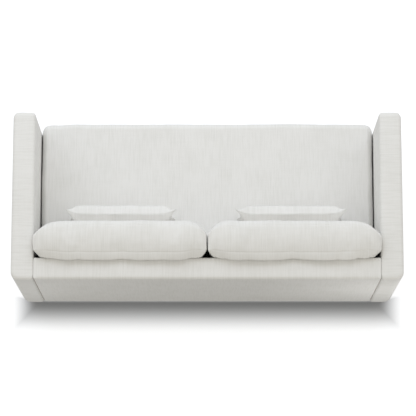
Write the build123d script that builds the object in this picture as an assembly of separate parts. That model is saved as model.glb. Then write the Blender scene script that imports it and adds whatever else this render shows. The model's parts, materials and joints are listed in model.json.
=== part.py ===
from build123d import *
import math
import os

os.makedirs("parts", exist_ok=True)

# A three-seater sofa in millimetres. +Z is up, the front faces -Y, and the origin is on the floor
# under the middle of the sofa's box. Left and right are as seen from the front.

# Overall sizes
OVERALL_W = 2100.0
ARM_D = 915.0  # arm, front face to rear face
TOP_Z = 840.0  # top of the arms and of the back
ARM_T = 120.0
BACK_T = 117.0
BACK_SETBACK = 3.0  # outside back, in from the arms' rear faces
SEAT_OVERHANG = 30.0  # seat cushion proud of the arm fronts
FRONT_SETBACK = 12.0  # front border behind the arm fronts
FOOT_H = 50.0  # underside above the floor
DECK_Z = 275.0  # what the seat cushion rests on

# Upholstery
COVER_T = 2.0
PAD_T = 18.0
REAR_PAD_T = 6.0
BORDER_PAD_T = 12.0
BORDER_RETURN = 80.0  # front border cover, turned back over the deck
DECK_PAD_T = 12.0
DUST_T = 1.0
DUST_INSET = 10.0
PANEL_T = 4.0
ARM_CORNER_R = 25.0  # upright edges of an arm
ARM_SEAM_R = 14.0  # upright edge where arm and outside back meet
ARM_TOP_R = 13.0
BACK_TOP_R = 16.0
BORDER_R = 9.0
FIT_GAP = 0.3

# Frame timber
POST_D = 45.0
ARM_TOP_RAIL_H = 40.0
ARM_MIDDLE_RAIL_H = 50.0
ARM_MIDDLE_RAIL_Z = 285.0
ARM_BOTTOM_RAIL_H = 110.0
BASE_RAIL_T = 28.0
CROSS_RAIL_X = 310.0  # either side of the middle
CROSS_RAIL_DROP = 45.0  # below the webbing, so that it can give
BLOCK_LEG = 90.0
BLOCK_H = 80.0
BACK_TOP_RAIL_H = 60.0
BACK_BOTTOM_RAIL_H = 80.0
BACK_TACK_RAIL_Z = 300.0
BACK_TACK_RAIL_H = 60.0
BACK_TACK_RAIL_D = 27.0
STILE_W = 45.0
MIDDLE_STILE_X = 310.0
TENON_L = 18.0
TENON_SHOULDER = 8.0
TENON_GAP = 1.0

# Webbing
WEB_W = 60.0
WEB_T = 1.5
WEB_EASE = 8.0  # level stretch beside a crossing, before a strap slopes
LENGTHWISE_STRAP_COUNT = 13
CROSSWISE_STRAP_COUNT = 5
BACK_STRAP_COUNT = 10
WEB_MARGIN = 75.0  # last strap's middle from the end of its row

# Fasteners and feet
BOLT_R = 4.0
BOLT_CLEARANCE = 0.4
BOLT_HEAD_R = 9.0
BOLT_HEAD_T = 5.0
BOLT_BITE = 34.0
NUT_R = 6.5
NUT_L = 25.0
BASE_BOLT_Y = 230.0  # either side of the middle bolt
BASE_BOLT_Z = 110.0
BACK_BOLT_Z = (240.0, 680.0)
FOOT_TOP_W = 64.0
FOOT_END_W = 50.0
FOOT_EDGE_R = 5.0
GLIDE_T = 4.0
GLIDE_R = 18.0
FOOT_BOLT_SINK = 24.0  # into the foot
FOOT_BOLT_RISE = 40.0  # into the timber

# Seat cushion
SEAT_SIDE_GAP = 5.0
SEAT_BOXING = 140.0
SEAT_CROWN = 30.0
SEAT_RUN = 230.0  # how far in from an edge the crown still climbs
SEAT_REAR_RUN = 75.0
SEAT_CORNER_R = 34.0

# Back cushions
BACK_LEAN = 6.0  # degrees
BACK_CUSHION_T = 205.0
BACK_CUSHION_RISE = 60.0  # above the top of the back
BACK_SIDE_GAP = 4.0
BACK_CENTRE_GAP = 8.0
BACK_CROWN = 45.0
BACK_RUN = 170.0
BACK_REAR_RUN = 30.0
BACK_REAR_CROWN = 30.0
BACK_CORNER_R = 62.0

# Lumbar pillows
PILLOW_W = 590.0
PILLOW_H = 285.0
PILLOW_T = 100.0
PILLOW_RUN_SHARE = 0.42  # of the height, over which the crown climbs
PILLOW_CORNER_R = 14.0
RIGHT_PILLOW_X = 469.0
LEFT_PILLOW_X = -455.0

# Sewing
SEAM_TUCK = 7.0  # seams drawn in behind the bulge of a boxing
SIDE_DRAW = 7.0  # sides drawn in between the corners
BOTTOM_SINK = 8.0  # flattened by the cushion's own weight
CORE_GAP = 0.6
CROWN_STEPS = (0.14, 0.46, 1.0)  # shares of the run at which a crown is drawn

# Places worked out from the sizes above
BODY_Z = FOOT_H + DUST_T
Y_REAR = (ARM_D + SEAT_OVERHANG) / 2
ARM_Y = (Y_REAR - ARM_D, Y_REAR)
ARM_X = (OVERALL_W / 2 - ARM_T, OVERALL_W / 2)
BACK_Y = (Y_REAR - BACK_SETBACK - BACK_T, Y_REAR - BACK_SETBACK)
BETWEEN_ARMS = (-ARM_X[0] + FIT_GAP, ARM_X[0] - FIT_GAP)
BORDER_Y = ARM_Y[0] + FRONT_SETBACK
SKIN = COVER_T + FIT_GAP  # cover and the fit under it
WEB_STACK = 2 * WEB_T + FIT_GAP
RAIL_TOP = DECK_Z - DECK_PAD_T - FIT_GAP - WEB_STACK
SEAT_BOTTOM = DECK_Z + FIT_GAP
SEAT_TOP = SEAT_BOTTOM + SEAT_BOXING + SEAT_CROWN


def inset(span, by):
    return (span[0] + by, span[1] - by)


def middle(span):
    return (span[0] + span[1]) / 2


def block(x, y, z):
    spans = (x, y, z)
    return Pos(*[middle(s) for s in spans]) * Box(*[s[1] - s[0] for s in spans])


def rod_x(radius, x, y, z):
    return Pos(middle(x), y, z) * Rot(0, 90, 0) * Cylinder(radius, x[1] - x[0])


def rod_z(radius, x, y, z):
    return Pos(x, y, middle(z)) * Cylinder(radius, z[1] - z[0])


def along_x(profile, x):
    """A profile drawn in Y and Z, drawn out over a span in X."""
    return Pos(x[0], 0, 0) * extrude(Plane.YZ * profile, x[1] - x[0])


def evenly(span, count):
    step = (span[1] - span[0]) / (count - 1)
    return [span[0] + i * step for i in range(count)]


def stubs(spans, axis, extra=0.0):
    """The tenons at both ends of a rail that runs along an axis, or their mortises with extra depth."""
    made = []
    for end, outward in ((0, -1), (1, 1)):
        stub = [inset(s, TENON_SHOULDER) for s in spans]
        shoulder = spans[axis][end]
        stub[axis] = tuple(sorted((shoulder, shoulder + outward * (TENON_L + extra))))
        made.append(block(*stub))
    return made


def tenoned(spans, axis):
    return block(*spans) + stubs(spans, axis)


def mortised(spans, rails, axis):
    return block(*spans) - [stub for rail in rails for stub in stubs(rail, axis, TENON_GAP)]


# Bolts, their insert nuts and the holes for both
BASE_RAIL_X = (BETWEEN_ARMS[1] - BASE_RAIL_T, BETWEEN_ARMS[1])
STILE_X = (BETWEEN_ARMS[1] - STILE_W, BETWEEN_ARMS[1])
ARM_CORE = [
    inset(ARM_X, SKIN + PAD_T + PANEL_T),
    inset(ARM_Y, SKIN + PAD_T),
    (BODY_Z, TOP_Z - SKIN - PAD_T),
]
REAR_POST_Y = (ARM_CORE[1][1] - POST_D, ARM_CORE[1][1])
FRONT_POST_Y = (ARM_CORE[1][0], ARM_CORE[1][0] + POST_D)
BASE_BOLTS = [(BASE_RAIL_X[0], y, BASE_BOLT_Z) for y in (-BASE_BOLT_Y, 0.0, BASE_BOLT_Y)]
BACK_BOLTS = [(STILE_X[0], middle(REAR_POST_Y), z) for z in BACK_BOLT_Z]
BOLTS = BASE_BOLTS + BACK_BOLTS
BOLT_END = ARM_CORE[0][0] + BOLT_BITE


def bolt_holes(radius, until):
    return [rod_x(radius, (x, until), y, z) for x, y, z in BOLTS]


def frame_bolt(x, y, z):
    shank = rod_x(BOLT_R, (x, BOLT_END), y, z)
    return shank + rod_x(BOLT_HEAD_R, (x - BOLT_HEAD_T, x), y, z)


def insert_nut(x, y, z):
    bore = BOLT_R + FIT_GAP / 2
    span = (ARM_CORE[0][0], ARM_CORE[0][0] + NUT_L)
    return rod_x(NUT_R, span, y, z) - rod_x(bore, span, y, z)


THROUGH_HOLES = bolt_holes(BOLT_R + BOLT_CLEARANCE, BOLT_END + TENON_GAP)
NUT_HOLES = bolt_holes(NUT_R + FIT_GAP / 2, ARM_CORE[0][0] + NUT_L)

# Feet, with the timber over each one
FEET = {
    "front_right_foot": (middle(ARM_X), middle(FRONT_POST_Y)),
    "rear_right_foot": (middle(ARM_X), middle(REAR_POST_Y)),
    "front_left_foot": (-middle(ARM_X), middle(FRONT_POST_Y)),
    "rear_left_foot": (-middle(ARM_X), middle(REAR_POST_Y)),
}
FRONT_RAIL_Y = (BORDER_Y + SKIN + BORDER_PAD_T, BORDER_Y + SKIN + BORDER_PAD_T + BASE_RAIL_T)
BACK_CORE_Y = (
    BACK_Y[0] + SKIN + PAD_T + FIT_GAP + WEB_T,
    BACK_Y[1] - SKIN - REAR_PAD_T - PANEL_T,
)
CENTRE_FEET = [(0.0, middle(FRONT_RAIL_Y)), (0.0, middle(BACK_CORE_Y))]
FOOT_PLACES = list(FEET.values()) + CENTRE_FEET
FOOT_BOLT_Z = (FOOT_H - FOOT_BOLT_SINK, BODY_Z + FOOT_BOLT_RISE)
FOOT_HOLES = [
    rod_z(BOLT_R + FIT_GAP / 2, x, y, inset(FOOT_BOLT_Z, -TENON_GAP)) for x, y in FOOT_PLACES
]


def foot(x, y):
    """A low square block that tapers to its glide, drilled for its bolt."""
    top = Pos(x, y, FOOT_H) * RectangleRounded(FOOT_TOP_W, FOOT_TOP_W, FOOT_EDGE_R)
    end = Pos(x, y, GLIDE_T) * RectangleRounded(FOOT_END_W, FOOT_END_W, FOOT_EDGE_R)
    return loft([end, top], ruled=True) - FOOT_HOLES


def feet():
    nodes = {name: foot(x, y) for name, (x, y) in FEET.items()}
    nodes["centre_feet"] = [foot(x, y) for x, y in CENTRE_FEET]
    nodes["foot_glides"] = [rod_z(GLIDE_R, x, y, (0.0, GLIDE_T)) for x, y in FOOT_PLACES]
    nodes["foot_bolts"] = [rod_z(BOLT_R, x, y, FOOT_BOLT_Z) for x, y in FOOT_PLACES]
    return nodes


def arm_form(by):
    """The right arm's outside, or a layer that far under it, open to below."""
    x, y = inset(ARM_X, by), inset(ARM_Y, by)
    plan = Pos(middle(x), middle(y)) * Rectangle(x[1] - x[0], y[1] - y[0])
    seam = (x[0], y[1])
    open_corners = plan.vertices().sort_by_distance(seam)[1:]
    plan = fillet(open_corners, ARM_CORNER_R - by)
    plan = fillet(plan.vertices().sort_by_distance(seam)[:1], ARM_SEAM_R - by)
    case = Pos(0, 0, BODY_Z) * extrude(plan, TOP_Z - by - BODY_Z)
    return fillet(case.edges().group_by(Axis.Z)[-1], ARM_TOP_R - by)


def right_arm():
    x, y, z = ARM_CORE
    between_posts = (FRONT_POST_Y[1], REAR_POST_Y[0])
    rails = {
        "top_rail": [x, between_posts, (z[1] - ARM_TOP_RAIL_H, z[1])],
        "middle_rail": [x, between_posts, (ARM_MIDDLE_RAIL_Z, ARM_MIDDLE_RAIL_Z + ARM_MIDDLE_RAIL_H)],
        "bottom_rail": [x, between_posts, (z[0], z[0] + ARM_BOTTOM_RAIL_H)],
    }
    drilled = THROUGH_HOLES + NUT_HOLES + FOOT_HOLES
    pieces = {name: tenoned(spans, 1) - drilled for name, spans in rails.items()}
    for name, post_y in (("front_post", FRONT_POST_Y), ("rear_post", REAR_POST_Y)):
        pieces[name] = mortised([x, post_y, z], rails.values(), 1) - drilled
    panels = [(x[0] - PANEL_T, x[0]), (x[1], x[1] + PANEL_T)]
    pieces["panels"] = [block(panel, y, z) - THROUGH_HOLES for panel in panels]
    wrapped = block(inset(x, -PANEL_T), y, z)
    pieces["padding"] = arm_form(SKIN) - wrapped - THROUGH_HOLES
    pieces["cover"] = arm_form(0.0) - arm_form(COVER_T) - THROUGH_HOLES
    return pieces


def solids(shape):
    return shape if isinstance(shape, list) else [shape]


def arms():
    nodes = {}
    for name, shape in right_arm().items():
        nodes[f"right_arm_{name}"] = shape
        nodes[f"left_arm_{name}"] = [mirror(s, about=Plane.YZ) for s in solids(shape)]
    return nodes


def both_sides(shapes):
    return shapes + [mirror(s, about=Plane.YZ) for s in shapes]


def back_form(by):
    """The back's section, with its two top edges rounded, or a layer that far under it."""
    y, z = inset(BACK_Y, by), (BODY_Z, TOP_Z - by)
    section = Pos(middle(y), middle(z)) * Rectangle(y[1] - y[0], z[1] - z[0])
    section = fillet(section.vertices().group_by(Axis.Y)[-1], BACK_TOP_R - by)
    return along_x(section, BETWEEN_ARMS)


def back():
    y, top = BACK_CORE_Y, TOP_Z - SKIN - PAD_T
    bottom_rail = [BETWEEN_ARMS, y, (BODY_Z, BODY_Z + BACK_BOTTOM_RAIL_H)]
    top_rail = [BETWEEN_ARMS, y, (top - BACK_TOP_RAIL_H, top)]
    tack_rail = [BETWEEN_ARMS, (y[0], y[0] + BACK_TACK_RAIL_D),
                 (BACK_TACK_RAIL_Z, BACK_TACK_RAIL_Z + BACK_TACK_RAIL_H)]
    half = STILE_W / 2
    upright = (bottom_rail[2][1], top_rail[2][0])
    right_stiles = [
        [STILE_X, y, upright],
        [(MIDDLE_STILE_X - half, MIDDLE_STILE_X + half), y, upright],
    ]
    sockets = both_sides([s for stile in right_stiles for s in stubs(stile, 2, TENON_GAP)])
    bolt_holes_both = both_sides(THROUGH_HOLES)
    housing = block(*tack_rail)
    stiles = both_sides([tenoned(stile, 2) - housing for stile in right_stiles])
    web_y = (y[0] - WEB_T, y[0])
    web_z = (tack_rail[2][0], top)
    hollow = (BACK_Y[0] + SKIN + PAD_T, BACK_Y[1] - SKIN - REAR_PAD_T)
    return {
        "back_bottom_rail": block(*bottom_rail) - sockets - FOOT_HOLES,
        "back_top_rail": block(*top_rail) - sockets - bolt_holes_both,
        "back_tack_rail": housing - bolt_holes_both,
        "back_stiles": [stile - bolt_holes_both for stile in stiles],
        "back_panel": block(BETWEEN_ARMS, (y[1], y[1] + PANEL_T), (BODY_Z, top)),
        "back_webbing": [
            block((x - WEB_W / 2, x + WEB_W / 2), web_y, web_z)
            for x in evenly(inset(BETWEEN_ARMS, WEB_MARGIN), BACK_STRAP_COUNT)
        ],
        "back_padding": back_form(SKIN) - block(BETWEEN_ARMS, hollow, (BODY_Z, top)),
        "back_cover": back_form(0.0) - back_form(COVER_T),
    }


def border_section(by):
    """The front border's section: an upright face with a rounded top edge, turned back over the deck."""
    y, z = (BORDER_Y + by, BORDER_Y + BORDER_RETURN), (BODY_Z, DECK_Z - by)
    section = Pos(middle(y), middle(z)) * Rectangle(y[1] - y[0], z[1] - z[0])
    corner = section.vertices().sort_by_distance((y[0], z[1]))[:1]
    return fillet(corner, BORDER_R - by)


def strap(ends, crossings, lifts):
    """A strap's section along its run: level on the rails, over or under at each crossing."""
    low, high = RAIL_TOP, RAIL_TOP + WEB_T + FIT_GAP
    level = WEB_W / 2 + WEB_EASE
    line = [(ends[0], low), (ends[0] + BASE_RAIL_T, low)]
    for at, over in zip(crossings, lifts):
        line += [(at - level, high if over else low), (at + level, high if over else low)]
    line += [(ends[1] - BASE_RAIL_T, low), (ends[1], low)]
    upper = [(s, z + WEB_T) for s, z in reversed(line)]
    return Polygon(*line, *upper, align=None)


def seat_webbing(front_back):
    """Straps in two directions that pass over and under each other in turn."""
    rows_x = evenly(inset(BETWEEN_ARMS, WEB_MARGIN), LENGTHWISE_STRAP_COUNT)
    rows_y = evenly(inset(front_back, WEB_MARGIN), CROSSWISE_STRAP_COUNT)
    half = WEB_W / 2
    lengthwise, crosswise = [], []
    for i, x in enumerate(rows_x):
        over = [(i + j) % 2 == 0 for j in range(len(rows_y))]
        lengthwise.append(along_x(strap(front_back, rows_y, over), (x - half, x + half)))
    for j, y in enumerate(rows_y):
        over = [(i + j) % 2 == 1 for i in range(len(rows_x))]
        section = Plane.XZ * strap(BETWEEN_ARMS, rows_x, over)
        crosswise.append(Pos(0, y + half, 0) * extrude(section, WEB_W))
    return lengthwise, crosswise


def base():
    z = (BODY_Z, RAIL_TOP)
    rear_y = (BACK_Y[0] - FIT_GAP - BASE_RAIL_T, BACK_Y[0] - FIT_GAP)
    between = (FRONT_RAIL_Y[1], rear_y[0])
    side_rail = [BASE_RAIL_X, between, z]
    half = BASE_RAIL_T / 2
    cross_rail = [(CROSS_RAIL_X - half, CROSS_RAIL_X + half), between, (z[0], z[1] - CROSS_RAIL_DROP)]
    sockets = both_sides([s for rail in (side_rail, cross_rail) for s in stubs(rail, 1, TENON_GAP)])
    drilled = both_sides(THROUGH_HOLES)
    right_rail = tenoned(side_rail, 1) - THROUGH_HOLES
    blocks = []
    block_z = z[1] - CROSS_RAIL_DROP - BLOCK_H
    for corner_y, way in ((between[0], 1), (between[1], -1)):
        corner = (BASE_RAIL_X[0], corner_y)
        points = [corner, (corner[0] - BLOCK_LEG, corner_y), (corner[0], corner_y + way * BLOCK_LEG)]
        blocks.append(Pos(0, 0, block_z) * extrude(Polygon(*points, align=None), BLOCK_H))
    lengthwise, crosswise = seat_webbing((FRONT_RAIL_Y[0], rear_y[1]))
    pad_z = RAIL_TOP + WEB_STACK + FIT_GAP
    border_end = BORDER_Y + BORDER_RETURN
    under_return = block(BETWEEN_ARMS, (FRONT_RAIL_Y[0], border_end), (BODY_Z, pad_z))
    whole_section = along_x(border_section(0.0), BETWEEN_ARMS)
    dust_y = (BORDER_Y + DUST_INSET, BACK_Y[1] - DUST_INSET)
    dust_x = (DUST_INSET - OVERALL_W / 2, OVERALL_W / 2 - DUST_INSET)
    return {
        "front_rail": block(BETWEEN_ARMS, FRONT_RAIL_Y, z) - sockets - FOOT_HOLES,
        "rear_rail": block(BETWEEN_ARMS, rear_y, z) - sockets,
        "right_side_rail": right_rail,
        "left_side_rail": mirror(right_rail, about=Plane.YZ),
        "cross_rails": both_sides([tenoned(cross_rail, 1)]),
        "corner_blocks": both_sides([b - drilled for b in blocks]),
        "seat_webbing_lengthwise": lengthwise,
        "seat_webbing_crosswise": crosswise,
        "deck_pad": block(BETWEEN_ARMS, (border_end + FIT_GAP, BACK_Y[0] - FIT_GAP), (pad_z, DECK_Z)),
        "front_border_padding": along_x(border_section(SKIN), BETWEEN_ARMS) - under_return,
        "front_border_cover": whole_section - along_x(border_section(COVER_T), BETWEEN_ARMS),
        "dust_cover": block(dust_x, dust_y, (FOOT_H, BODY_Z)) - FOOT_HOLES,
    }


def fasteners():
    return {
        "frame_bolts": both_sides([frame_bolt(*place) for place in BOLTS]),
        "insert_nuts": both_sides([insert_nut(*place) for place in BOLTS]),
    }


def outline(plane, half_w, low, high, corner_r, draw):
    """A cushion's outline on a plane: sides drawn in between rounded corners."""
    x, r = half_w, corner_r
    bend = r * (1 - math.sqrt(0.5))
    waist = (low + high) / 2
    sides = [
        [(-x + r, low), (0, low + draw), (x - r, low), (x - bend, low + bend)],
        [(x, low + r), (x - draw, waist), (x, high - r), (x - bend, high - bend)],
        [(x - r, high), (0, high - draw), (-x + r, high), (-x + bend, high - bend)],
        [(-x, high - r), (-x + draw, waist), (-x, low + r), (-x + bend, low + bend)],
    ]
    edges = []
    for side, following in zip(sides, sides[1:] + sides[:1]):
        edges.append(ThreePointArc(*side[:3]))
        edges.append(ThreePointArc(side[2], side[3], following[0]))
    return Wire(edges).moved(Location(plane))


def crown(run, height):
    """Steps of a crown: how far in from the seam, and how far up."""
    return [(share * run, height * (1 - (1 - share) ** 2)) for share in CROWN_STEPS]


def seat_form(skin):
    """The bench cushion: a boxing that bulges between its seams, and a crown, flatter at the rear."""
    half_w = ARM_X[0] - SEAT_SIDE_GAP - skin
    y = (-Y_REAR + skin, BACK_Y[0] - SEAT_SIDE_GAP - skin)
    bottom, seam = SEAT_BOTTOM + skin, SEAT_BOTTOM + SEAT_BOXING

    def section(height, side, rear):
        plane = Plane.XY.offset(height)
        return outline(plane, half_w - side, y[0] + side, y[1] - rear, SEAT_CORNER_R, SIDE_DRAW)

    top_seam = section(seam, SEAM_TUCK, SEAM_TUCK)
    boxing = [section(bottom, SEAM_TUCK, SEAM_TUCK), section(middle((bottom, seam)), 0.0, 0.0), top_seam]
    steps = zip(crown(SEAT_RUN, SEAT_CROWN - skin), crown(SEAT_REAR_RUN, SEAT_CROWN - skin))
    top = [section(seam + up, SEAM_TUCK + side, SEAM_TUCK + rear) for (side, up), (rear, _) in steps]
    return Solid.make_loft(boxing) + Solid.make_loft([top_seam] + top)


def leaning(x, forward):
    """A plane that leans with the back cushions, that far forward of their rear faces, at seat height."""
    lean = math.radians(BACK_LEAN)
    edge_y, edge_z = BACK_Y[0] + BACK_TOP_R, TOP_Z - BACK_TOP_R
    clear = BACK_TOP_R + FIT_GAP + forward - math.sin(lean) * (SEAT_TOP - edge_z)
    origin = (x, edge_y - clear / math.cos(lean), SEAT_TOP)
    return Plane(origin=origin, x_dir=(1, 0, 0), z_dir=(0, -math.cos(lean), math.sin(lean)))


def set_down(form, skin):
    """Flattens a cushion where it rests on the seat."""
    seat = block((-ARM_X[1], ARM_X[1]), (-ARM_D, ARM_D), (0.0, SEAT_TOP + FIT_GAP + skin))
    return form - seat


def back_cushion_form(side, skin):
    """A loose back cushion: flat at the rear, where it leans, and crowned in front."""
    width = ARM_X[0] - BACK_SIDE_GAP - BACK_CENTRE_GAP / 2
    x = side * (BACK_CENTRE_GAP + width) / 2
    lean = math.radians(BACK_LEAN)
    climb = TOP_Z + BACK_CUSHION_RISE - SEAT_TOP - BACK_CUSHION_T / 2 * math.sin(lean)
    v = (-BOTTOM_SINK + skin, climb / math.cos(lean) - skin)

    def section(forward, by):
        plane = leaning(x, forward)
        corner_r = BACK_CORNER_R * (1 - by / (2 * BACK_RUN))
        return outline(plane, width / 2 - skin - by, v[0] + by, v[1] - by, corner_r, SIDE_DRAW)

    seam = BACK_CUSHION_T - BACK_CROWN
    bulge = middle((BACK_REAR_CROWN, seam))
    rear = [(skin, BACK_REAR_RUN), (BACK_REAR_CROWN, SEAM_TUCK), (bulge, 0.0)]
    front = [(seam + up, SEAM_TUCK + by) for by, up in crown(BACK_RUN, BACK_CROWN - skin)]
    front_seam = section(seam, SEAM_TUCK)
    form = Solid.make_loft([section(*step) for step in rear] + [front_seam])
    form += Solid.make_loft([front_seam] + [section(*step) for step in front])
    return set_down(form, skin)


def pillow_form(x, skin):
    """A lumbar pillow: two crowned halves that meet in a knife edge."""
    half_t = PILLOW_T / 2
    edge_plane = BACK_CUSHION_T + FIT_GAP + half_t
    v = (-BOTTOM_SINK, PILLOW_H)

    def section(forward, by):
        plane = leaning(x, edge_plane + forward)
        by = by + 2 * skin
        return outline(plane, PILLOW_W / 2 - by, v[0] + by, v[1] - by, PILLOW_CORNER_R, SIDE_DRAW)

    edge = section(0.0, 0.0)
    steps = crown(PILLOW_H * PILLOW_RUN_SHARE, half_t - skin)
    halves = [Solid.make_loft([edge] + [section(way * up, by) for by, up in steps]) for way in (-1, 1)]
    return set_down(halves[0] + halves[1], skin)


def stuffed(name, inner, form):
    """A sewn cover, hollow, and what fills it."""
    return {f"{name}_cover": form(0.0) - form(COVER_T), f"{name}_{inner}": form(COVER_T + CORE_GAP)}


def cushions():
    nodes = stuffed("seat_cushion", "core", seat_form)
    for name, side, pillow_x in (("right", 1, RIGHT_PILLOW_X), ("left", -1, LEFT_PILLOW_X)):
        nodes |= stuffed(f"{name}_back_cushion", "fill", lambda skin: back_cushion_form(side, skin))
        nodes |= stuffed(f"{name}_lumbar_pillow", "fill", lambda skin: pillow_form(pillow_x, skin))
    return nodes


for group in (feet, arms, back, base, fasteners, cushions):
    for node, shape in group().items():
        export_step(Compound(solids(shape)), f"parts/{node}.step")
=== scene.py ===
import json
import math

import bmesh
import bpy
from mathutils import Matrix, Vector, noise

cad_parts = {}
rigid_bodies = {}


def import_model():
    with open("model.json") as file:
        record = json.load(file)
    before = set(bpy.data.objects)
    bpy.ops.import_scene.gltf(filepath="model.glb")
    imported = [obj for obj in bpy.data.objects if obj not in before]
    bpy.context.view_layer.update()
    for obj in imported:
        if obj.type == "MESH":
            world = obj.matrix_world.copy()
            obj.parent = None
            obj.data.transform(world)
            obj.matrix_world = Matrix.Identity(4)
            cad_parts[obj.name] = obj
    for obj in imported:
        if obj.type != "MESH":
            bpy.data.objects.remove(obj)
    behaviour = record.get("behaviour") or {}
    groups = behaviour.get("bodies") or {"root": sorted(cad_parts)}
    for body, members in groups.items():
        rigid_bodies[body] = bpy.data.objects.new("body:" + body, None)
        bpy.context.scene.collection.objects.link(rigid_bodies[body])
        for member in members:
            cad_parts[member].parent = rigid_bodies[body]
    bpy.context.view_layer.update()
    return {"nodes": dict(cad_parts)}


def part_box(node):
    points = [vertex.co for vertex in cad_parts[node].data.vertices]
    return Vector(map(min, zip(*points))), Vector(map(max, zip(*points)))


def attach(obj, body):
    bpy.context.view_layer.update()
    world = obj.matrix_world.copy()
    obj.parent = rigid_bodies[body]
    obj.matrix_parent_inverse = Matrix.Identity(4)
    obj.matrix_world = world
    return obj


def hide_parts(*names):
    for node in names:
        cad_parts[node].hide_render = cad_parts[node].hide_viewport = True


for leftover in list(bpy.data.objects):
    bpy.data.objects.remove(leftover)
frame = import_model()
MM = 0.001


# The joined frame: posts, rails, stiles and corner blocks of kiln-dried pine, planed, with mortise
# and tenon joints, all closed in by the upholstery. Rings and pores show along the grain.
def linear(hex_colour):
    """An sRGB hex colour as linear red, green, blue and alpha."""
    shares = [int(hex_colour[i:i + 2], 16) / 255 for i in (1, 3, 5)]
    return [s / 12.92 if s <= 0.04045 else ((s + 0.055) / 1.055) ** 2.4 for s in shares] + [1.0]


def add(material, kind, settings=None, links=None):
    """Adds a node to a material, with its settings and with links from other nodes' outputs."""
    node = material.node_tree.nodes.new("ShaderNode" + kind)
    for name, value in (settings or {}).items():
        if isinstance(name, int) or name in node.inputs:
            node.inputs[name].default_value = value
        else:
            setattr(node, name, value)
    for name, output in (links or {}).items():
        material.node_tree.links.new(output, node.inputs[name])
    return node


def finish_named(name, settings):
    """A new material, its shader with the settings that hold all over, and Object coordinates."""
    material = bpy.data.materials.new(name)
    material.use_nodes = True
    shader = material.node_tree.nodes["Principled BSDF"]
    for socket, value in settings.items():
        shader.inputs[socket].default_value = value
    place = add(material, "TexCoord").outputs["Object"]
    return material, shader, place


def finished(material, shader, tone, colours, height, strength, depth, stops=(0.3, 0.7)):
    """Colours a shader between two hex colours by a tone, from one stop to the other, and raises it
    by a height, with a bump of that depth."""
    ramp = add(material, "ValToRGB", links={"Fac": tone})
    for stop, at, colour in zip(ramp.color_ramp.elements, stops, colours):
        stop.position = at
        stop.color = linear(colour)
    bump = add(material, "Bump", {"Strength": strength, "Distance": depth}, {"Height": height})
    material.node_tree.links.new(ramp.outputs["Color"], shader.inputs["Base Color"])
    material.node_tree.links.new(bump.outputs["Normal"], shader.inputs["Normal"])


def stretched(material, place, sizes, detail=3.0):
    """Noise with one real size, in millimetres, along each of X, Y and Z."""
    scale = [1.0 / (size * MM) for size in sizes]
    mapping = add(material, "Mapping", {"Scale": scale}, {"Vector": place})
    grain = add(material, "TexNoise", {"Scale": 1.0, "Detail": detail},
                {"Vector": mapping.outputs["Vector"]})
    return grain.outputs["Fac"]


GRAIN_RUN = 22
PORE_SHARE = 0.2
PORE_DEPTH = 0.4 * MM


def timber(name, colours, along, ring, roughness):
    """Planed wood: growth rings that run along one axis, and pores along the same way."""
    material, shader, place = finish_named(name, {"Roughness": roughness, "IOR": 1.5})
    ring_sizes, pore_sizes = [ring] * 3, [ring * PORE_SHARE] * 3
    ring_sizes[along] = pore_sizes[along] = ring * GRAIN_RUN
    rings = stretched(material, place, ring_sizes)
    pores = stretched(material, place, pore_sizes, 1.0)
    both = add(material, "Math", {"operation": "MULTIPLY"}, {0: rings, 1: pores}).outputs["Value"]
    finished(material, shader, both, colours, pores, 0.25, PORE_DEPTH, (0.12, 0.42))
    return material


def painted(nodes, material):
    """Gives CAD nodes that keep their shape a better material."""
    for node in nodes:
        mesh = frame["nodes"][node].data
        mesh.materials.clear()
        mesh.materials.append(material)


SIDES = ("left", "right")
PINE = ("#B98E5C", "#E3C798")
PINE_RING = 7.0
PINE_ROUGHNESS = 0.6
pine_upright = timber("planed_pine_upright", PINE, 2, PINE_RING, PINE_ROUGHNESS)
pine_deep = timber("planed_pine_front_to_back", PINE, 1, PINE_RING, PINE_ROUGHNESS)
pine_wide = timber("planed_pine_side_to_side", PINE, 0, PINE_RING, PINE_ROUGHNESS)
painted([f"{side}_arm_{post}_post" for side in SIDES for post in ("front", "rear")], pine_upright)
painted(["back_stiles", "corner_blocks"], pine_upright)
painted([f"{side}_arm_{rail}_rail" for side in SIDES for rail in ("top", "middle", "bottom")],
        pine_deep)
painted(["left_side_rail", "right_side_rail", "cross_rails"], pine_deep)
painted(["front_rail", "rear_rail", "back_top_rail", "back_tack_rail", "back_bottom_rail"], pine_wide)

# Panels of pressed hardboard, stapled to the arms and the back under the padding: brown, with short
# matted fibres on the rough side.
FIBRE = 3.0
hardboard, board, place = finish_named("pressed_hardboard", {"Roughness": 0.75, "IOR": 1.5})
fibres = stretched(hardboard, place, [FIBRE] * 3, 5.0)
finished(hardboard, board, fibres, ("#5E4127", "#8C6944"), fibres, 0.3, 0.3 * MM)
painted(["back_panel"] + [f"{side}_arm_panels" for side in SIDES], hardboard)

# Bolts and insert nuts that pull the arms, the back and the feet to the base: zinc-plated steel,
# with the faint blotches that plating leaves.
PLATING_BLOTCH = 4.0
zinc, plating, place = finish_named("zinc_plated_steel", {"Metallic": 1.0, "Roughness": 0.35})
blotches = stretched(zinc, place, [PLATING_BLOTCH] * 3, 4.0)
finished(zinc, plating, blotches, ("#A9ABAA", "#D2D3CF"), blotches, 0.1, 0.05 * MM)
painted(["frame_bolts", "insert_nuts", "foot_bolts"], zinc)

# Elastic webbing across the seat and down the back: flat straps woven over rubber threads, stapled to
# the rails. The flecks of their weave are drawn 4 mm wide, twice the real size, so that they show.
FLECK = 4.0
webbing, strap, place = finish_named("elastic_webbing", {"Roughness": 0.85, "IOR": 1.5})
flecks = stretched(webbing, place, [FLECK] * 3, 2.0)
finished(webbing, strap, flecks, ("#8A7458", "#B9A27E"), flecks, 0.4, 0.4 * MM)
painted(["seat_webbing_lengthwise", "seat_webbing_crosswise", "back_webbing"], webbing)

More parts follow.
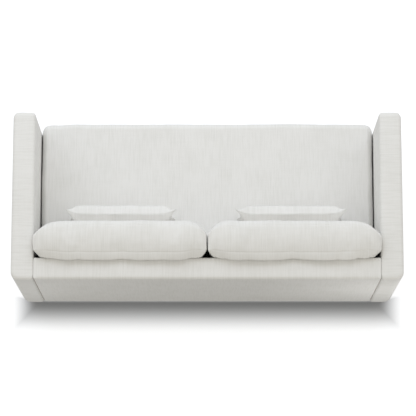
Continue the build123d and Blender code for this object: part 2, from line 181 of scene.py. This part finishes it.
# The dust cover under the base: black spun-bonded cloth, pressed with small dimples and stapled to
# the rails all round.
DIMPLE = 5.0
spunbond, dust, place = finish_named("spun_bonded_cloth", {"Roughness": 0.95, "IOR": 1.45})
dimple_scale = add(spunbond, "Mapping", {"Scale": [1 / (DIMPLE * MM)] * 3}, {"Vector": place})
dimples = add(spunbond, "TexVoronoi", {"Scale": 1.0, "Randomness": 0.25},
              {"Vector": dimple_scale.outputs["Vector"]}).outputs["Distance"]
finished(spunbond, dust, dimples, ("#161616", "#2B2B2B"), dimples, 0.4, 0.3 * MM, (0.1, 0.6))
painted(["dust_cover"], spunbond)

# Six low feet: tapered blocks of beech, stained dark and lacquered, each on a round nylon glide that
# keeps the wood off the floor.
BEECH_RING = 5.0
SPECKLE = 1.5
stained_beech = timber("stained_beech", ("#2A1B12", "#4A3222"), 2, BEECH_RING, 0.38)
painted(["front_left_foot", "front_right_foot", "rear_left_foot", "rear_right_foot", "centre_feet"],
        stained_beech)
nylon, glide, place = finish_named("moulded_nylon", {"Roughness": 0.5, "IOR": 1.53})
speckle = stretched(nylon, place, [SPECKLE] * 3, 2.0)
finished(nylon, glide, speckle, ("#3A3A3A", "#4A4A4A"), speckle, 0.1, 0.1 * MM)
painted(["foot_glides"], nylon)


# The arms: slabs with padding under a tight cover. One length of cloth goes up the inside, over the
# top and down the outside, and a panel closes each end, sewn on with a plain seam along the edge.
SLUB_WIDTH = 7.0
SLUB_LENGTH = 110.0
BLOTCH = 130.0
THREAD = 3.0
FILLER_SHARE = 0.25
BLOTCH_SHARE = 0.5
WEAVE_SHARE = 0.2
WEAVE_DEPTH = 0.9 * MM


def linen(name, across):
    """Loose linen weave, off-white and matt. Slubs, thick places in the yarn, make streaks along the
    cloth, and across is the axis that they are narrow in. Threads are drawn 3 mm apart, where real
    ones are under 1 mm, so that the weave shows."""
    material, shader, place = finish_named(name, {"Roughness": 0.93, "IOR": 1.45, "Sheen Weight": 0.08,
                                                  "Specular IOR Level": 0.25})
    along, cross = [SLUB_LENGTH] * 3, [SLUB_WIDTH] * 3
    along[across], cross[across] = SLUB_WIDTH, SLUB_LENGTH
    slubs = stretched(material, place, along, 4.0)
    fillers = stretched(material, place, cross, 4.0)
    yarn = add(material, "Math", {"operation": "MULTIPLY_ADD", 1: FILLER_SHARE},
               {0: fillers, 2: slubs}).outputs["Value"]
    blotches = stretched(material, place, [BLOTCH] * 3, 2.0)
    tone = add(material, "Math", {"operation": "MULTIPLY_ADD", 1: BLOTCH_SHARE},
               {0: blotches, 2: yarn}).outputs["Value"]
    axes = add(material, "SeparateXYZ", links={"Vector": place}).outputs
    others = [axes[i] for i in range(3) if i != across]
    around = add(material, "Math", {"operation": "ADD"},
                 {0: others[0], 1: others[1]}).outputs["Value"]
    waves = []
    for way in (axes[across], around):
        turns = add(material, "Math", {"operation": "MULTIPLY", 1: math.pi / (THREAD * MM)}, {0: way})
        waves.append(add(material, "Math", {"operation": "SINE"}, {0: turns.outputs["Value"]}))
    weave = add(material, "Math", {"operation": "MULTIPLY"},
                {0: waves[0].outputs["Value"], 1: waves[1].outputs["Value"]}).outputs["Value"]
    height = add(material, "Math", {"operation": "MULTIPLY_ADD", 1: WEAVE_SHARE},
                 {0: weave, 2: yarn}).outputs["Value"]
    finished(material, shader, tone, ("#E5E4E1", "#EDECEA"), height, 0.16, WEAVE_DEPTH, (0.6, 1.0))
    return material


CELL = 14.0 * MM
CROWDING = 0.28
FACE = 0.99  # a point with this share of a block's half size, or more, is on its face


def soft_block(low, high, cell):
    """A closed block of quads between two corners, its lines closer together towards its edges.
    Gives the block and each point's place in it, from -1 to 1."""
    block = bmesh.new()
    block.edges.layers.float.new("crease_edge")
    bmesh.ops.create_cube(block, size=2.0)
    for axis in range(3):
        uncut = [e for e in block.edges if abs(e.verts[0].co[axis] - e.verts[1].co[axis]) > 1.0]
        cuts = max(3, round((high[axis] - low[axis]) / cell))
        bmesh.ops.subdivide_edges(block, edges=uncut, cuts=cuts, use_grid_fill=True)
    share = [v.co.copy() for v in block.verts]
    for v in block.verts:
        crowded = [t * (1 + CROWDING) - CROWDING * t ** 3 for t in v.co]
        v.co = [(a + b) / 2 + t * (b - a) / 2 for a, b, t in zip(low, high, crowded)]
    return block, share


def eased(over, drop, radius):
    """How far two distances from an edge shrink where the edge is round."""
    a, b = max(radius - over, 0.0), max(radius - drop, 0.0)
    if a == 0.0 or b == 0.0:
        return 0.0, 0.0
    shrink = 1 - max(a, b) / math.hypot(a, b)
    return a * shrink, b * shrink


BASE_CREASE = 0.9
LEVEL = 0.1 * MM


def round_edges(block, low, high, plan_radius, top_radius):
    """Rounds a block's upright edges and then the edges of its top, with radii that are functions of
    X and Y, and keeps the edges of its base sharp."""
    middle = [(a + b) / 2 for a, b in zip(low, high)]
    half = [(b - a) / 2 for a, b in zip(low, high)]
    for v in block.verts:
        x, y = v.co.x - middle[0], v.co.y - middle[1]
        over_x, over_y = half[0] - abs(x), half[1] - abs(y)
        radius, edge = plan_radius(v.co.x, v.co.y), top_radius(v.co.x, v.co.y)
        inner = Vector((math.copysign(max(radius - over_x, 0.0), x),
                        math.copysign(max(radius - over_y, 0.0), y)))
        in_x, in_y = eased(over_x, over_y, radius)
        back_in, down = eased(min(over_x, over_y), high[2] - v.co.z, edge)
        out = inner.normalized() if inner.length else Vector((0.0, 0.0))
        v.co.x -= math.copysign(in_x, x) + out.x * back_in
        v.co.y -= math.copysign(in_y, y) + out.y * back_in
        v.co.z -= down
    block.normal_update()
    crease = block.edges.layers.float["crease_edge"]
    for e in block.edges:
        turned = len({f.normal.z < -0.5 for f in e.link_faces}) == 2
        if turned and all(v.co.z < low[2] + LEVEL for v in e.verts):
            e[crease] = BASE_CREASE


def sewn(block, seam_edges, width, depth):
    """Draws a cover in along its seams: a narrow groove with the stitching out of sight at its foot."""
    strips = bmesh.ops.bevel(block, geom=seam_edges, offset=width / 2, segments=1, profile=0.5,
                             affect="EDGES", material=-1)["faces"]
    strip_set = set(strips)
    rungs = [e for e in {e for f in strips for e in f.edges}
             if len(e.link_faces) == 2 and all(f in strip_set for f in e.link_faces)]
    block.normal_update()
    cut = bmesh.ops.subdivide_edges(block, edges=rungs, cuts=1)
    block.normal_update()
    for item in cut["geom_inner"]:
        if isinstance(item, bmesh.types.BMVert):
            item.co -= item.normal * depth


def upholstered(name, block, material, body, nodes):
    """A soft piece from its block: smooth, with its cloth, on its body, in place of its CAD nodes."""
    bmesh.ops.recalc_face_normals(block, faces=block.faces)
    mesh = bpy.data.meshes.new(name)
    block.to_mesh(mesh)
    block.free()
    mesh.shade_smooth()
    mesh.materials.append(material)
    piece = bpy.data.objects.new(name, mesh)
    bpy.context.scene.collection.objects.link(piece)
    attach(piece, body)
    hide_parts(*nodes)
    return piece


def rounder(piece):
    """One level of subdivision, the same in the view and in the render."""
    smoothing = piece.modifiers.new("rounded", "SUBSURF")
    smoothing.levels = smoothing.render_levels = 1


ARM_CORNER_R = 25.0 * MM
ARM_INSIDE_R = 12.0 * MM
ARM_REAR_R = 42.0 * MM
ARM_FRONT_CROWN = 5.0 * MM
ARM_TOP_R = 18.0 * MM
ARM_BACK_R = 3.5 * MM
ARM_CROWN = 2.5 * MM
ARM_SEAM_DEPTH = 1.6 * MM
TIGHT_SEAM_W = 4.0 * MM
LIFT = 0.4 * MM
arm_linen = linen("linen_across_the_arms", 1)
back_front_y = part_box("back_cover")[0].y
for side, way in (("left", -1), ("right", 1)):
    low, high = (Vector(corner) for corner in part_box(f"{side}_arm_cover"))
    low.z += LIFT
    block, share = soft_block(low, high, CELL)
    seam = [e for e in block.edges
            if any(all(abs(v.co.y - end) < LIFT for v in e.verts) for end in (low.y, high.y))
            and any(abs(f.normal.y) < 0.5 for f in e.link_faces)
            and sum(v.co.z for v in e.verts) > 2 * low.z + LIFT]
    middle_x = (low.x + high.x) / 2

    def plan_radius(x, y):
        if (x - middle_x) * way < 0:
            return ARM_INSIDE_R
        return ARM_REAR_R if y > 0 else ARM_CORNER_R

    def top_radius(x, y):
        inside = (x - middle_x) * way < 0
        against_back = y > back_front_y and high.y - y > ARM_TOP_R
        return ARM_BACK_R if inside and against_back else ARM_TOP_R

    for v, t in zip(block.verts, share):
        if t.x * way > FACE:
            v.co.x += way * (1 - t.y ** 4) * (1 - t.z ** 4) * ARM_CROWN
        if t.y < -FACE:
            v.co.y -= (1 - t.x ** 4) * ARM_FRONT_CROWN
        if t.z > FACE:
            v.co.z += (1 - t.x ** 2) * (1 - t.y ** 8) * ARM_CROWN
    round_edges(block, low, high, plan_radius, top_radius)
    sewn(block, seam, TIGHT_SEAM_W, ARM_SEAM_DEPTH)
    arm = upholstered(f"{side}_arm_upholstery", block, arm_linen, "frame",
                      (f"{side}_arm_cover", f"{side}_arm_padding"))
    rounder(arm)

# The back: a padded slab between the arms. The cloth comes up the inside and over the top, and a flat
# panel closes the outside, sewn on along its top edge.
BACK_END_R = 12.0 * MM
BACK_TOP_R = 16.0 * MM
BACK_TOP_END_R = 2.0 * MM
BACK_CROWN = 2.0 * MM
BACK_SEAM_DEPTH = 1.2 * MM
long_linen = linen("linen_front_to_back", 0)
low, high = (Vector(corner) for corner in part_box("back_cover"))
low.z += LIFT
block, share = soft_block(low, high, CELL)
seam = [e for e in block.edges
        if all(abs(v.co.y - high.y) < LIFT and abs(v.co.z - high.z) < LIFT for v in e.verts)]
for v, t in zip(block.verts, share):
    if t.y > FACE:
        v.co.y += (1 - t.x ** 10) * (1 - t.z ** 4) * BACK_CROWN
    if t.z > FACE:
        v.co.z += (1 - t.y ** 2) * (1 - t.x ** 20) * BACK_CROWN
round_edges(block, low, high, lambda x, y: BACK_END_R,
            lambda x, y: BACK_TOP_R if high.x - abs(x) > BACK_TOP_R else BACK_TOP_END_R)
sewn(block, seam, TIGHT_SEAM_W, BACK_SEAM_DEPTH)
back = upholstered("back_upholstery", block, long_linen, "frame", ("back_cover", "back_padding"))
rounder(back)

# The front border: cloth over thin padding on the front rail, from the underside up to the deck,
# where it turns back under the seat cushion.
BORDER_R = 9.0 * MM
BORDER_CROWN = 3.0 * MM
low, high = (Vector(corner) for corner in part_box("front_border_cover"))
low.z += LIFT
block, share = soft_block(low, high, CELL)
for v, t in zip(block.verts, share):
    if t.y < -FACE:
        v.co.y -= (1 - t.x ** 10) * (1 - t.z ** 4) * BORDER_CROWN
round_edges(block, low, high, lambda x, y: BACK_END_R,
            lambda x, y: BORDER_R if y < 0.5 * (low.y + high.y) else LIFT)
border = upholstered("front_border_upholstery", block, long_linen, "frame",
                     ("front_border_cover", "front_border_padding"))
rounder(border)

# The deck: a thin pad over the webbing, in the same cloth, tacked down round its edge and out of
# sight under the seat cushion.
DECK_R = 5.0 * MM
DECK_FALL = 0.4
low, high = (Vector(corner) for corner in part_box("deck_pad"))
block, share = soft_block(low, high, 2 * CELL)
for v, t in zip(block.verts, share):
    if t.z > FACE:
        v.co.z -= DECK_R * DECK_FALL * max(t.x ** 40, t.y ** 20)
round_edges(block, low, high, lambda x, y: DECK_R, lambda x, y: DECK_R)
upholstered("deck_upholstery", block, long_linen, "frame", ("deck_pad",))


# The seat cushion: one bench cushion with a foam core in a fibre wrap. Top and bottom panels are sewn
# to a boxing, and the stuffing crowns the top and rolls its edges over.
SIM_FRAMES = 20
PRESSURE = 4.0
SMOOTHINGS = 2
WRINKLE = 3.5 * MM
WRINKLE_SPAN = 140.0 * MM
RIPPLE = 1.2 * MM
RIPPLE_SPAN = 38.0 * MM
LOOSE_SEAM_W = 5.0 * MM
LOOSE_SEAM_DEPTH = 2.6 * MM


def stuffed(name, block, share, seam, material, body, nodes, reach, give, full_axes, between,
            settle):
    """A loose cushion: cloth sewn to the block's shape and swollen by its stuffing, no point of it
    further than reach from where it was cut, and less along an axis that gives less. Its seams on
    either side of the block's middle, along the axis between them, are drawn out to their full size
    on the full axes, and it settles on what it rests on."""
    seam_pairs = [tuple(v.index for v in e.verts) for e in seam]
    piece = upholstered(name, block, material, body, nodes)
    cut = [v.co.copy() for v in piece.data.vertices]
    cloth = piece.modifiers.new("stuffing", "CLOTH")
    cloth.settings.use_pressure = True
    cloth.settings.uniform_pressure_force = PRESSURE
    cloth.settings.effector_weights.gravity = 0.0
    cloth.point_cache.frame_start = 1
    cloth.point_cache.frame_end = SIM_FRAMES
    for step in range(1, SIM_FRAMES + 1):
        bpy.context.scene.frame_set(step)
    swollen = piece.evaluated_get(bpy.context.evaluated_depsgraph_get()).to_mesh()
    moved = [v.co.copy() for v in swollen.vertices]
    piece.modifiers.clear()
    bpy.context.scene.frame_set(1)
    for v, start, end in zip(piece.data.vertices, cut, moved):
        step = (end - start) * give  # axis by axis
        v.co = start + step * min(1.0, reach / max(step.length, 1e-9))
    cushion = bmesh.new()
    cushion.from_mesh(piece.data)
    cushion.verts.ensure_lookup_table()
    for _ in range(SMOOTHINGS):
        bmesh.ops.smooth_vert(cushion, verts=cushion.verts, factor=0.5,
                              use_axis_x=True, use_axis_y=True, use_axis_z=True)
    for axis in full_axes:
        fits = []
        for end in (-1, 1):
            loop = [i for pair in seam_pairs for i in pair if share[i][between] * end > 0]
            now = [cushion.verts[i].co[axis] for i in loop]
            meant = [cut[i][axis] for i in loop]
            fits.append((min(meant), min(now), (max(meant) - min(meant)) / (max(now) - min(now))))
        for v, at in zip(cushion.verts, share):
            near, far = (full + (v.co[axis] - start) * stretch for full, start, stretch in fits)
            v.co[axis] = near + (far - near) * (at[between] + 1) / 2
    cushion.normal_update()
    for v in cushion.verts:
        slack = (WRINKLE * noise.noise(v.co / WRINKLE_SPAN)
                 + RIPPLE * noise.noise(v.co / RIPPLE_SPAN))
        v.co = settle(v.co + v.normal * slack)
    edges = [cushion.edges.get([cushion.verts[i] for i in pair]) for pair in seam_pairs]
    sewn(cushion, edges, LOOSE_SEAM_W, LOOSE_SEAM_DEPTH)
    bmesh.ops.recalc_face_normals(cushion, faces=cushion.faces)
    cushion.to_mesh(piece.data)
    cushion.free()
    piece.data.shade_smooth()
    rounder(piece)


def boxing_seams(block):
    """The edges where a block's two panels, across its Z axis, are sewn to its boxing."""
    return [e for e in block.edges if len({abs(f.normal.z) > 0.5 for f in e.link_faces}) == 2]


def rise(distance, run, fullness=2.4):
    """A crown's share of its height, that far in from the edge."""
    return 1 - (1 - min(max(distance / run, 0.0), 1.0)) ** fullness


def corners_rounded(x, y, half_x, half_y, radius):
    """A point of a rectangle, moved into one with round corners."""
    in_x, in_y = eased(half_x - abs(x), half_y - abs(y), radius)
    return x - math.copysign(in_x, x), y - math.copysign(in_y, y)


SEAT_TRIM = 3.0
SEAT_BOXING = 140.0 * MM
SEAT_BULGE = 3.0 * MM
SEAT_CROWN = 30.0 * MM
SEAT_EDGE_SHARE = 0.75
SEAT_EDGE_RUN = 70.0 * MM
SEAT_DOME_RUN = 300.0 * MM
SEAT_CORNER_R = 36.0 * MM
SEAT_BOW = 9.0 * MM
SEAT_HIGHEST = 4.0 * MM
low, high = (Vector(corner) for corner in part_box("seat_cushion_cover"))
trim = Vector((SEAT_TRIM, SEAT_TRIM, 0.0)) * MM
block, share = soft_block(low + trim, high - trim, CELL)
seam = boxing_seams(block)
half = (high - low) / 2 - trim
middle = (high + low) / 2
for v, t in zip(block.verts, share):
    x, y = v.co.x - middle.x, v.co.y - middle.y
    edge = min(half.x - abs(x), half.y - abs(y))
    x, y = corners_rounded(x, y, half.x, half.y, SEAT_CORNER_R)
    bulge = SEAT_BULGE * (1 - t.z ** 2)
    x += math.copysign(bulge, x) if abs(t.x) > FACE else 0.0
    y += math.copysign(bulge, y) if abs(t.y) > FACE else 0.0
    y -= SEAT_BOW * (1 - t.x ** 6) * max(-t.y, 0.0)
    z = low.z + (t.z + 1) / 2 * SEAT_BOXING
    if t.z > FACE:
        z += SEAT_CROWN * (SEAT_EDGE_SHARE * rise(edge, SEAT_EDGE_RUN)
                           + (1 - SEAT_EDGE_SHARE) * rise(edge, SEAT_DOME_RUN))
    v.co = Vector((middle.x + x, middle.y + y, z))


def on_the_deck(co):
    """The seat cushion lies flat on the deck, between the arms."""
    return Vector((max(low.x - MM, min(high.x + MM, co.x)),
                   max(low.y - SEAT_BOW, min(high.y, co.y)),
                   max(low.z + LIFT, min(high.z + SEAT_HIGHEST, co.z))))


stuffed("seat_cushion", block, share, seam, long_linen, "seat_cushion",
        ("seat_cushion_cover", "seat_cushion_core"), reach=22.0 * MM,
        give=Vector((0.0, 0.0, 1.0)), full_axes=(0, 1), between=2, settle=on_the_deck)

# The two back cushions: fibre-filled, boxed, and fuller in front than behind. They stand on the seat
# and lean on the back's top edge, and their tops swell out over the back and the arms.
BACK_CUSHION_CELL = 11.0 * MM
LEAN = math.radians(6.0)
BACK_CUSHION_T = 205.0 * MM
REAR_FOOT = 311.7 * MM
REAR_SEAM = 30.0 * MM
FRONT_SEAM = 172.0 * MM
FRONT_CROWN = 14.0 * MM
OUTER_CORNER_R = 50.0 * MM
INNER_CORNER_R = 14.0 * MM
OUTER_TAPER = 57.0 * MM
OUTER_RUN = 170.0 * MM
INNER_TAPER = 46.0 * MM
INNER_RUN = 125.0 * MM
INNER_BULGE = 9.0 * MM
EDGE_RUN = 110.0 * MM
REAR_RUN = 36.0 * MM
REAR_OUTER_RUN = 230.0 * MM
REAR_INNER_RUN = 215.0 * MM
REAR_FULLNESS = 2.0
TOP_BULGE = 14.0 * MM
OVERHANG = 28.0 * MM
SIDE_ROOM = 2.0 * MM
BACK_ROOM = 0.5 * MM
LIP = 36.0 * MM
LIP_START = 2.0 * MM
LIP_RISE = 30.0 * MM
LIP_CURVE = 1.5
ARM_OVERLAP = 12.0 * MM
OUTER_SWELL = 11.0 * MM
HALF_GAP = 0.8 * MM
VALLEY = 4.0 * MM
VALLEY_DEPTH = 45.0 * MM
up = Vector((0.0, math.sin(LEAN), math.cos(LEAN)))
forward = Vector((0.0, -math.cos(LEAN), math.sin(LEAN)))
seat_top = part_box("left_back_cushion_cover")[0].z
back_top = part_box("back_cover")[1].z
arm_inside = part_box("right_arm_cover")[0].x
for side, way in (("left", -1), ("right", 1)):
    low, high = (Vector(corner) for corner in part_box(f"{side}_back_cushion_cover"))
    half_w = (high.x - low.x) / 2 - SIDE_ROOM
    middle_x = (high.x + low.x) / 2
    half_h = (high.z - seat_top) / math.cos(LEAN) / 2
    block, share = soft_block((-half_w, -half_h, 0.0), (half_w, half_h, BACK_CUSHION_T),
                              BACK_CUSHION_CELL)
    seam = boxing_seams(block)
    for v, t in zip(block.verts, share):
        x, y = v.co.x, v.co.y
        outer_end, inner_end = half_w - way * x, half_w + way * x
        outer, inner = rise(outer_end, OUTER_RUN), rise(inner_end, INNER_RUN)
        edge = half_h - abs(y)
        front_seam = FRONT_SEAM - OUTER_TAPER * (1 - outer) - INNER_TAPER * (1 - inner)
        corner_r = OUTER_CORNER_R if way * x > 0 else INNER_CORNER_R
        x, y = corners_rounded(x, y, half_w, half_h, corner_r)
        round_out = 1 - t.z ** 2
        x -= way * INNER_BULGE * round_out if way * t.x < -FACE else 0.0
        y += TOP_BULGE * round_out * outer * inner if t.y > FACE else 0.0
        z = REAR_SEAM + (t.z + 1) / 2 * (front_seam - REAR_SEAM)
        if t.z > FACE:
            z += FRONT_CROWN * outer * inner * rise(edge, EDGE_RUN)
        if t.z < -FACE:
            ends = (rise(outer_end, REAR_OUTER_RUN, REAR_FULLNESS)
                    * rise(inner_end, REAR_INNER_RUN, REAR_FULLNESS))
            z -= (REAR_SEAM + OVERHANG) * ends * rise(edge, REAR_RUN)
        v.co = Vector((middle_x + x, REAR_FOOT, seat_top)) + up * (y + half_h) + forward * z

    def leaning(co):
        """The back cushion stands on the seat, leans on the back and keeps to its side of the arm."""
        over = min(max((co.z - back_top - LIP_START) / LIP_RISE, 0.0), 1.0) ** LIP_CURVE
        y = min(co.y, back_front_y - BACK_ROOM + over * LIP)
        outer = arm_inside - SIDE_ROOM + over * ARM_OVERLAP
        swell = over * OUTER_SWELL * max(0.0, way * (co.x - middle_x) / half_w) ** 4
        valley = VALLEY * min(max(1 - (high.z - co.z) / VALLEY_DEPTH, 0.0), 1.0)
        x = way * max(HALF_GAP + valley, min(way * co.x + swell, outer))
        return Vector((x, y, max(co.z, seat_top + LIFT)))

    stuffed(f"{side}_back_cushion", block, share, seam, long_linen, f"{side}_back_cushion",
            (f"{side}_back_cushion_cover", f"{side}_back_cushion_fill"),
            reach=14.0 * MM, give=Vector((0.3, 1.0, 0.3)), full_axes=(0, 2), between=2,
            settle=leaning)

# The two lumbar pillows: two panels sewn edge to edge round a soft fill, so that they thin out to a
# knife edge with pointed corners. They stand on the seat in front of the back cushions.
PILLOW_CELL = 9.0 * MM
PILLOW_T = 100.0 * MM
PILLOW_EDGE = 5.0 * MM
PILLOW_CROWN = 0.3
PILLOW_RUN = 110.0 * MM
PILLOW_NEARER = 14.0 * MM
EAR = 9.0 * MM
EAR_REACH = 12.0 * MM
EAR_BEND = 60.0 * MM
FOOT_FULL = 8.0 * MM
FOOT_TUCK = 0.5
pillow_foot = REAR_FOOT - (BACK_CUSHION_T + PILLOW_T / 2) / math.cos(LEAN) + PILLOW_NEARER
for side in SIDES:
    low, high = (Vector(corner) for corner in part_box(f"{side}_lumbar_pillow_cover"))
    half_w = (high.x - low.x) / 2
    middle_x = (high.x + low.x) / 2
    half_h = (high.z - seat_top) / math.cos(LEAN) / 2
    block, share = soft_block((-half_w, -half_h, -PILLOW_EDGE / 2), (half_w, half_h, PILLOW_EDGE / 2),
                              PILLOW_CELL)
    rim = {v for v, t in zip(block.verts, share)
           if max(abs(t.x), abs(t.y)) > FACE and abs(t.z) < 1 - FACE}
    seam = [e for e in block.edges if all(v in rim for v in e.verts)]
    for v, t in zip(block.verts, share):
        x, y, z = v.co
        edge = min(half_w - abs(x), half_h - abs(y))
        above, below = max(t.y, 0.0), max(-t.y, 0.0)
        x -= math.copysign(EAR * (1 - t.y ** 2) * t.x ** 2, x)
        y -= EAR * (1 - t.x ** 2) * above ** 2 + FOOT_FULL * (1 - t.x ** 4) * below ** 3
        x -= math.copysign(FOOT_TUCK * EAR * t.x ** 2 * below ** 2, x)
        if abs(t.z) > FACE:
            z += math.copysign(PILLOW_CROWN * PILLOW_T * rise(edge, PILLOW_RUN), t.z)
        x += math.copysign(EAR_REACH * abs(t.x) ** 7 * above ** 3, x)
        z += EAR_BEND * t.x ** 6 * above ** 2
        v.co = Vector((middle_x + x, pillow_foot, seat_top)) + up * (y + half_h) + forward * z

    def propped(co):
        """The pillow stands on the seat and leans on its back cushion."""
        return Vector((co.x, co.y, max(co.z, seat_top + LIFT)))

    stuffed(f"{side}_lumbar_pillow", block, share, seam, long_linen, f"{side}_lumbar_pillow",
            (f"{side}_lumbar_pillow_cover", f"{side}_lumbar_pillow_fill"),
            reach=26.0 * MM, give=Vector((0.4, 1.0, 0.4)), full_axes=(0,), between=1,
            settle=propped)

# The floor: plain, pale and matt, and lifted to white by a glow where it is seen. A patch close behind
# the sofa, set by place and not by the light, is left unlifted and dark: painted shade laid over the
# sofa's real shadow there. The pairs give where, in metres, the lift starts and is full.
FLOOR_LIFT = 0.75
SHADE_PATCH_EDGE_BEHIND = (0.48, 0.655)
SHADE_PATCH_EDGE_BEFORE = (0.47, 0.43)
SHADE_PATCH_EDGE_BESIDE = (0.975, 1.135)
plane = bmesh.new()
bmesh.ops.create_grid(plane, x_segments=1, y_segments=1, size=20.0)
bmesh.ops.translate(plane, verts=plane.verts, vec=(0.0, 0.0, -1.0 * MM))
floor_mesh = bpy.data.meshes.new("floor")
plane.to_mesh(floor_mesh)
plane.free()
floor = bpy.data.objects.new("floor", floor_mesh)
bpy.context.scene.collection.objects.link(floor)
pale, surface, place = finish_named("pale_floor", {"Roughness": 0.9, "Specular IOR Level": 0.0,
                                                   "Base Color": linear("#B2B4B8")})
seen = add(pale, "LightPath").outputs
spot = add(pale, "SeparateXYZ", links={"Vector": place}).outputs
aside = add(pale, "Math", {"operation": "ABSOLUTE"}, {0: spot["X"]}).outputs["Value"]
# Each mask is 0 inside the patch of painted shade behind the sofa and 1 where the floor glows white.
outside_painted_shade = []
for way, (start, full), fall in ((spot["Y"], SHADE_PATCH_EDGE_BEHIND, "SMOOTHSTEP"),
                                 (aside, SHADE_PATCH_EDGE_BESIDE, "SMOOTHSTEP"),
                                 (spot["Y"], SHADE_PATCH_EDGE_BEFORE, "LINEAR")):
    outside_painted_shade.append(add(pale, "MapRange", {"From Min": start, "From Max": full, "To Min": 0.0,
                                      "To Max": 1.0, "interpolation_type": fall},
                   {"Value": way}).outputs["Result"])
rays = [seen[f"Is {ray} Ray"] for ray in ("Camera", "Glossy", "Transmission")]
largest = []
for most, *others in (rays, outside_painted_shade):
    for other in others:
        most = add(pale, "Math", {"operation": "MAXIMUM"}, {0: most, 1: other}).outputs["Value"]
    largest.append(most)
lift = add(pale, "Math", {"operation": "MULTIPLY", 1: FLOOR_LIFT}, {0: largest[1]}).outputs["Value"]
lifted = add(pale, "Math", {"operation": "MULTIPLY"}, {0: largest[0], 1: lift}).outputs["Value"]
glow = add(pale, "Emission", {"Color": (1.0, 1.0, 1.0, 1.0)}, {"Strength": lifted}).outputs["Emission"]
total = add(pale, "AddShader", links={0: surface.outputs["BSDF"], 1: glow}).outputs["Shader"]
pale.node_tree.links.new(total, pale.node_tree.nodes["Material Output"].inputs["Surface"])
floor_mesh.materials.append(pale)


# The light: an even white room, one wide soft lamp high over the front of the sofa, and two weak
# lamps low behind its rear corners, of which the one at the left arm is the stronger.
def hung(fitting, place, target):
    """Hangs a lamp in its place and turns it to a point."""
    fitting.location = place
    aim = Vector(target) - fitting.location
    fitting.rotation_euler = aim.to_track_quat("-Z", "Y").to_euler()
    bpy.context.scene.collection.objects.link(fitting)


world = bpy.data.worlds.new("room")
bpy.context.scene.world = world
world.use_nodes = True
room = world.node_tree.nodes["Background"].inputs
room["Color"].default_value = (1.0, 0.98, 0.915, 1.0)
room["Strength"].default_value = 0.69
lamp = bpy.data.lights.new("softbox", "AREA")
lamp.shape = "RECTANGLE"
lamp.size, lamp.size_y = 10.0, 3.0
lamp.energy = 142.0
lamp.color = (0.8, 0.875, 1.0)
hung(bpy.data.objects.new("softbox", lamp), (0.5, -3.7, 3.8), (0.0, 0.0, 0.4))
for side, way, power in (("left", -1, 60.0), ("right", 1, 16.0)):
    lamp = bpy.data.lights.new(f"{side}_corner_lamp", "SPOT")
    lamp.energy = power
    lamp.spot_size = math.radians(30.0)
    lamp.spot_blend = 1.0
    lamp.shadow_soft_size = 0.3
    corner_lamp = bpy.data.objects.new(f"{side}_corner_lamp", lamp)
    corner_lamp.visible_camera = False
    hung(corner_lamp, (way * 1.9, 2.2, 0.2), (way * 1.05, 0.47, 0.5))

# The camera: high above and behind the sofa with a long lens, looking down on the seat, as in the
# photograph.
view = bpy.data.cameras.new("photograph")
view.sensor_width = 36.0
view.lens = 176.5
camera = bpy.data.objects.new("photograph", view)
camera.location = (-0.004, 2.2285, 11.572)
camera.rotation_euler = (math.radians(11.3), 0.0, math.radians(180.0))
bpy.context.scene.collection.objects.link(camera)
bpy.context.scene.camera = camera
bpy.context.scene.view_settings.view_transform = "Standard"
